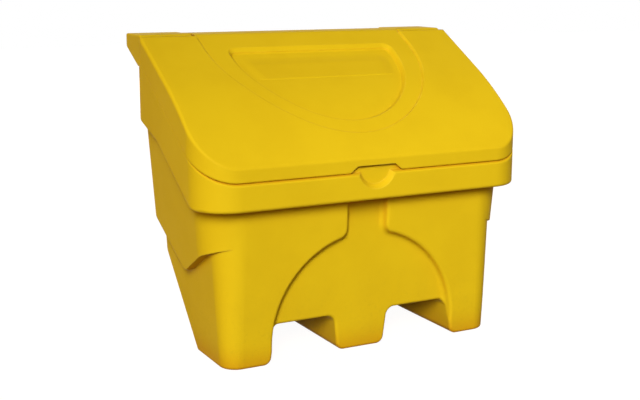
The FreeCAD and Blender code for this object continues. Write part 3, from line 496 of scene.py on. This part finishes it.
def set_camera(scene, look):
    lens = bpy.data.cameras.new("camera")
    lens.lens = look.lens
    lens.sensor_width = SENSOR_WIDTH
    lens.clip_end = FARTHEST_VIEW
    camera = bpy.data.objects.new("camera", lens)
    turn = (Euler((0.0, 0.0, -look.camera_turn)).to_matrix()
            @ Euler((math.pi / 2 - look.camera_dip, 0.0, 0.0)).to_matrix()
            @ Euler((0.0, 0.0, look.camera_roll)).to_matrix())
    camera.matrix_world = turn.to_4x4()
    camera.location = look.camera_place
    scene.collection.objects.link(camera)
    scene.camera = camera


def soft_lamp(name, place, aim, width, height, power, glossy=True):
    lamp = bpy.data.lights.new(name, "AREA")
    lamp.shape = "RECTANGLE"
    lamp.size = width
    lamp.size_y = height
    lamp.energy = power
    holder = bpy.data.objects.new(name, lamp)
    holder.location = place
    holder.rotation_euler = (Vector(aim) - Vector(place)).to_track_quat("-Z", "Y").to_euler()
    holder.visible_glossy = glossy
    bpy.context.scene.collection.objects.link(holder)
    return lamp


def set_lamps(look):
    key = soft_lamp("key_lamp", look.key_place, look.key_aim, look.key_width, look.key_height,
                    look.key_watts)
    key.spread = look.key_spread
    fill = soft_lamp("fill_lamp", look.fill_place, MIDDLE, look.fill_size, look.fill_size,
                     look.fill_watts)
    fill.color = look.fill_tint
    soft_lamp("back_lamp", look.back_place, MIDDLE, look.back_size, look.back_size,
              look.back_watts, glossy=False)


def seen_white(tree):
    """1 for a ray from the camera, a gloss or a clear surface, and 0 for one that lights."""
    path = add(tree, "ShaderNodeLightPath").outputs
    seen = maths(tree, "MAXIMUM", path["Is Camera Ray"], path["Is Glossy Ray"])
    return maths(tree, "MAXIMUM", seen, path["Is Transmission Ray"])


def set_room(scene, look):
    """Weak warm light from a room that looks white."""
    world = bpy.data.worlds.new("room")
    scene.world = world
    world.use_nodes = True
    tree = world.node_tree
    white = seen_white(tree)
    set_node(tree, tree.nodes["Background"],
             Color=blend(tree, white, opaque(look.room_tint), WHITE),
             Strength=maths(tree, "MULTIPLY_ADD", white, 1.0 - look.room_light, look.room_light))


def lay_floor(context, look):
    bpy.ops.mesh.primitive_plane_add(size=FLOOR_WIDTH)
    floor = context.active_object
    floor.name = "floor"
    material, tree, shader = new_material("pale floor")
    set_node(tree, shader, Base_Color=opaque(look.floor), Roughness=FLOOR_ROUGHNESS,
             Emission_Color=WHITE,
             Emission_Strength=product(tree, seen_white(tree), look.floor_glow))
    floor.data.materials.append(material)


# Operators, one for each piece and one for the stage.

class FinishTub(bpy.types.Operator):
    """Gives the tub its moulded yellow plastic"""
    bl_idname = "gritbin.finish_tub"
    bl_label = "Tub"

    def execute(self, context):
        dress("tub", yellow_plastic("tub plastic", settings().plastic.dirt_height))
        return {"FINISHED"}


class FinishLid(bpy.types.Operator):
    """Gives the lid its moulded yellow plastic and the bend across its panel"""
    bl_idname = "gritbin.finish_lid"
    bl_label = "Lid"

    def execute(self, context):
        dress("lid", yellow_plastic("lid plastic", NO_DIRT, settings().bend))
        return {"FINISHED"}


class FinishRod(bpy.types.Operator):
    """Gives the hinge rod its galvanised steel"""
    bl_idname = "gritbin.finish_rod"
    bl_label = "Hinge rod"

    def execute(self, context):
        dress("hinge_rod", galvanised_steel())
        return {"FINISHED"}


class FinishPlug(bpy.types.Operator):
    """Gives the plug at the rod's end its black plastic"""
    bl_idname = "gritbin.finish_plug"
    bl_label = "Hinge plug"

    def execute(self, context):
        dress("hinge_plug", black_plastic())
        return {"FINISHED"}


class SetStage(bpy.types.Operator):
    """Sets the camera, the lamps, the room light and the pale floor"""
    bl_idname = "gritbin.set_stage"
    bl_label = "Stage"

    def execute(self, context):
        look = settings().stage
        context.scene.view_settings.view_transform = "Standard"
        set_camera(context.scene, look)
        set_lamps(look)
        set_room(context.scene, look)
        lay_floor(context, look)
        return {"FINISHED"}


OPERATORS = (FinishTub, FinishLid, FinishRod, FinishPlug, SetStage)


class GritBinPanel(bpy.types.Panel):
    """Lists the pieces of the grit bin and the stage"""
    bl_idname = "VIEW3D_PT_grit_bin"
    bl_label = "Grit salt bin"
    bl_space_type = "VIEW_3D"
    bl_region_type = "UI"
    bl_category = "Grit bin"

    def draw(self, context):
        look = context.scene.grit_bin
        for group in (look.plastic, look.bend, look.steel, look.plug, look.stage):
            column = self.layout.column(align=True)
            for name in group.bl_rna.properties.keys():
                if name not in ("name", "rna_type"):
                    column.prop(group, name)
        for operator in OPERATORS:
            self.layout.operator(operator.bl_idname)


CLASSES = (PlasticSettings, BendSettings, SteelSettings, PlugSettings, StageSettings,
           GritBinSettings, *OPERATORS, GritBinPanel)


def register():
    for item in CLASSES:
        bpy.utils.register_class(item)
    bpy.types.Scene.grit_bin = PointerProperty(type=GritBinSettings)


def unregister():
    del bpy.types.Scene.grit_bin
    for item in reversed(CLASSES):
        bpy.utils.unregister_class(item)


def main():
    register()
    bpy.ops.gritbin.finish_tub()
    bpy.ops.gritbin.finish_lid()
    bpy.ops.gritbin.finish_rod()
    bpy.ops.gritbin.finish_plug()
    bpy.ops.gritbin.set_stage()


if __name__ == "__main__":
    main()
